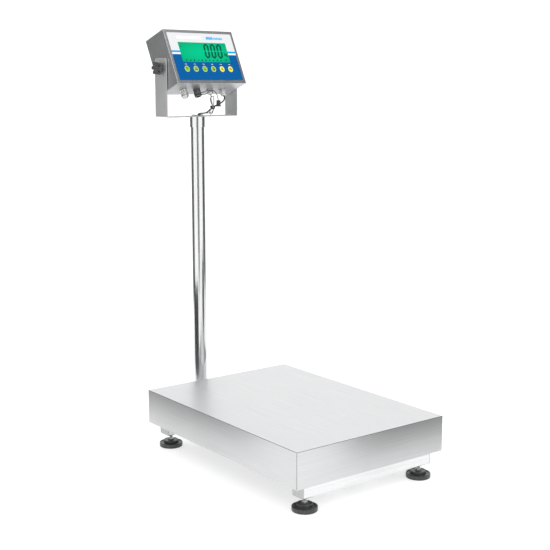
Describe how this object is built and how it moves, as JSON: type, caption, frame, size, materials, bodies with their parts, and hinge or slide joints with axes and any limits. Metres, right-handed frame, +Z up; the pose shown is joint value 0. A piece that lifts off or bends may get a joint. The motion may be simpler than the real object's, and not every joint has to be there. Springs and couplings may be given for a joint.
{
  "type": "animal weighing scale",
  "caption": "Platform weighing scale for animals: folded steel pan on a load cell, levelling feet, and a tilting indicator on a rear column.",
  "frame": {"origin": "on the floor, in the middle of the outline that the platform and the head cover seen from above", "axes": "+Z up along the column, -Y towards the front of the platform, +X to the right of a person who reads the display"},
  "size_m": [0.5, 0.8916, 1.2031],
  "materials": {
    "pan_steel": "brushed along the length",
    "case_steel": "satin",
    "yoke_steel": "satin",
    "tube_steel": "polished along the length",
    "frame_steel": "fine brushed",
    "inner_steel": "satin grey",
    "zinc": "zinc plated",
    "nickel": "nickel plated",
    "cell_alloy": "machined",
    "black_rubber": "matt",
    "black_plastic": "moulded",
    "overlay_print": "printed film",
    "window_clear": "clear film",
    "display": "backlit",
    "board": "solder mask",
    "key_green": "printed",
    "key_yellow": "printed",
    "cable_dark": "sheathed",
    "cable_grey": "sheathed"
  },
  "bodies": {
    "base": {"base_cross_beams": "frame_steel", "base_side_rails": "frame_steel", "base_plate": "inner_steel", "lower_spacer": "zinc", "load_cell": "cell_alloy", "cell_bolts_lower": "zinc", "beam_end_caps": "frame_steel", "overload_stops": "zinc", "lock_nuts": "zinc", "column_arm": "frame_steel", "column_bolts": "zinc", "column_tube": "tube_steel", "column_cable": "cable_dark"},
    "weighbridge": {"spider_side_rails": "inner_steel", "spider_cross_rails": "inner_steel", "spider_plate": "inner_steel", "upper_spacer": "zinc", "cell_bolts_upper": "zinc", "pan_buffers": "black_rubber"},
    "platform": {"pan": "pan_steel"},
    "head": {"column_cap": "yoke_steel", "cap_screws": "zinc", "cable_grommet": "black_rubber", "yoke": "yoke_steel", "load_cable": "cable_dark", "supply_cable": "cable_grey", "supply_hank": "cable_grey", "cable_tie": "black_plastic"},
    "indicator": {"tilt_washers": "black_plastic", "case_shell": "case_steel", "back_gasket": "black_rubber", "case_back": "case_steel", "back_screws": "zinc", "overlay": "overlay_print", "display_window": "window_clear", "display_module": "display", "keypad_board": "board", "main_board": "board", "board_pillars": "zinc", "capped_connector": "nickel", "data_connector": "black_plastic", "cable_glands": "nickel", "cap_lanyard": "cable_dark", "dust_cap": "black_plastic"},
    "left_knob": {"knob_left": "black_plastic"},
    "right_knob": {"knob_right": "black_plastic"},
    "button_1": {"key_1": "key_green"},
    "button_2": {"key_2": "key_green"},
    "button_3": {"key_3": "key_green"},
    "button_4": {"key_4": "key_green"},
    "button_5": {"key_5": "key_yellow"},
    "button_6": {"key_6": "key_yellow"},
    "foot_fl": {"foot_pad_fl": "black_rubber"},
    "stud_fl": {"foot_stud_fl": "zinc"},
    "foot_fr": {"foot_pad_fr": "black_rubber"},
    "stud_fr": {"foot_stud_fr": "zinc"},
    "foot_rl": {"foot_pad_rl": "black_rubber"},
    "stud_rl": {"foot_stud_rl": "zinc"},
    "foot_rr": {"foot_pad_rr": "black_rubber"},
    "stud_rr": {"foot_stud_rr": "zinc"}
  },
  "joints": [
    {"name": "weigh_travel", "type": "slide", "parent": "base", "child": "weighbridge", "axis": [0, 0, -1], "range_m": [0, 0.0006], "stiffness_N_per_m": 2400000, "springref_m": -0.0001, "deforming": ["load_cell"]},
    {"name": "platform_lift", "type": "slide", "parent": "weighbridge", "child": "platform", "axis": [0, 0, 1], "range_m": [0, 0.12]},
    {"name": "head_swivel", "type": "hinge", "parent": "base", "child": "head", "pos_m": [0, 0.35621, 0.952], "axis": [0, 0, 1], "range_deg": [-90, 90]},
    {"name": "case_tilt", "type": "hinge", "parent": "head", "child": "indicator", "pos_m": [0, 0.35621, 1.0925], "axis": [0.9895, 0.1444, 0], "range_deg": [-40, 23], "deforming": ["load_cable", "supply_cable", "supply_hank", "cable_tie"]},
    {"name": "left_knob_turn", "type": "hinge", "parent": "indicator", "child": "left_knob", "pos_m": [-0.14348, 0.33528, 1.0925], "axis": [-0.9895, -0.1444, 0], "range_deg": [0, 270]},
    {"name": "right_knob_turn", "type": "hinge", "parent": "indicator", "child": "right_knob", "pos_m": [0.14348, 0.37714, 1.0925], "axis": [0.9895, 0.1444, 0], "range_deg": [0, 270]},
    {"name": "key_1_press", "type": "slide", "parent": "indicator", "child": "button_1", "axis": [-0.1329, 0.9109, -0.3907], "range_m": [0, 0.0005], "stiffness_N_per_m": 4000, "springref_m": -0.0002},
    {"name": "key_2_press", "type": "slide", "parent": "indicator", "child": "button_2", "axis": [-0.1329, 0.9109, -0.3907], "range_m": [0, 0.0005], "stiffness_N_per_m": 4000, "springref_m": -0.0002},
    {"name": "key_3_press", "type": "slide", "parent": "indicator", "child": "button_3", "axis": [-0.1329, 0.9109, -0.3907], "range_m": [0, 0.0005], "stiffness_N_per_m": 4000, "springref_m": -0.0002},
    {"name": "key_4_press", "type": "slide", "parent": "indicator", "child": "button_4", "axis": [-0.1329, 0.9109, -0.3907], "range_m": [0, 0.0005], "stiffness_N_per_m": 4000, "springref_m": -0.0002},
    {"name": "key_5_press", "type": "slide", "parent": "indicator", "child": "button_5", "axis": [-0.1329, 0.9109, -0.3907], "range_m": [0, 0.0005], "stiffness_N_per_m": 4000, "springref_m": -0.0002},
    {"name": "key_6_press", "type": "slide", "parent": "indicator", "child": "button_6", "axis": [-0.1329, 0.9109, -0.3907], "range_m": [0, 0.0005], "stiffness_N_per_m": 4000, "springref_m": -0.0002},
    {"name": "foot_fl_height", "type": "slide", "parent": "base", "child": "foot_fl", "axis": [0, 0, -1], "range_m": [0, 0.012]},
    {"name": "stud_fl_turn", "type": "hinge", "parent": "foot_fl", "child": "stud_fl", "pos_m": [-0.197, -0.41079, 0.03], "axis": [0, 0, -1], "range_deg": [0, 2880]},
    {"name": "foot_fr_height", "type": "slide", "parent": "base", "child": "foot_fr", "axis": [0, 0, -1], "range_m": [0, 0.012]},
    {"name": "stud_fr_turn", "type": "hinge", "parent": "foot_fr", "child": "stud_fr", "pos_m": [0.197, -0.41079, 0.03], "axis": [0, 0, -1], "range_deg": [0, 2880]},
    {"name": "foot_rl_height", "type": "slide", "parent": "base", "child": "foot_rl", "axis": [0, 0, -1], "range_m": [0, 0.012]},
    {"name": "stud_rl_turn", "type": "hinge", "parent": "foot_rl", "child": "stud_rl", "pos_m": [-0.197, 0.21921, 0.03], "axis": [0, 0, -1], "range_deg": [0, 2880]},
    {"name": "foot_rr_height", "type": "slide", "parent": "base", "child": "foot_rr", "axis": [0, 0, -1], "range_m": [0, 0.012]},
    {"name": "stud_rr_turn", "type": "hinge", "parent": "foot_rr", "child": "stud_rr", "pos_m": [0.197, 0.21921, 0.03], "axis": [0, 0, -1], "range_deg": [0, 2880]}
  ],
  "couplings": [
    {"joint": "foot_fl_height", "follows": "stud_fl_turn", "m_per_rad": 0.00023873},
    {"joint": "foot_fr_height", "follows": "stud_fr_turn", "m_per_rad": 0.00023873},
    {"joint": "foot_rl_height", "follows": "stud_rl_turn", "m_per_rad": 0.00023873},
    {"joint": "foot_rr_height", "follows": "stud_rr_turn", "m_per_rad": 0.00023873}
  ]
}
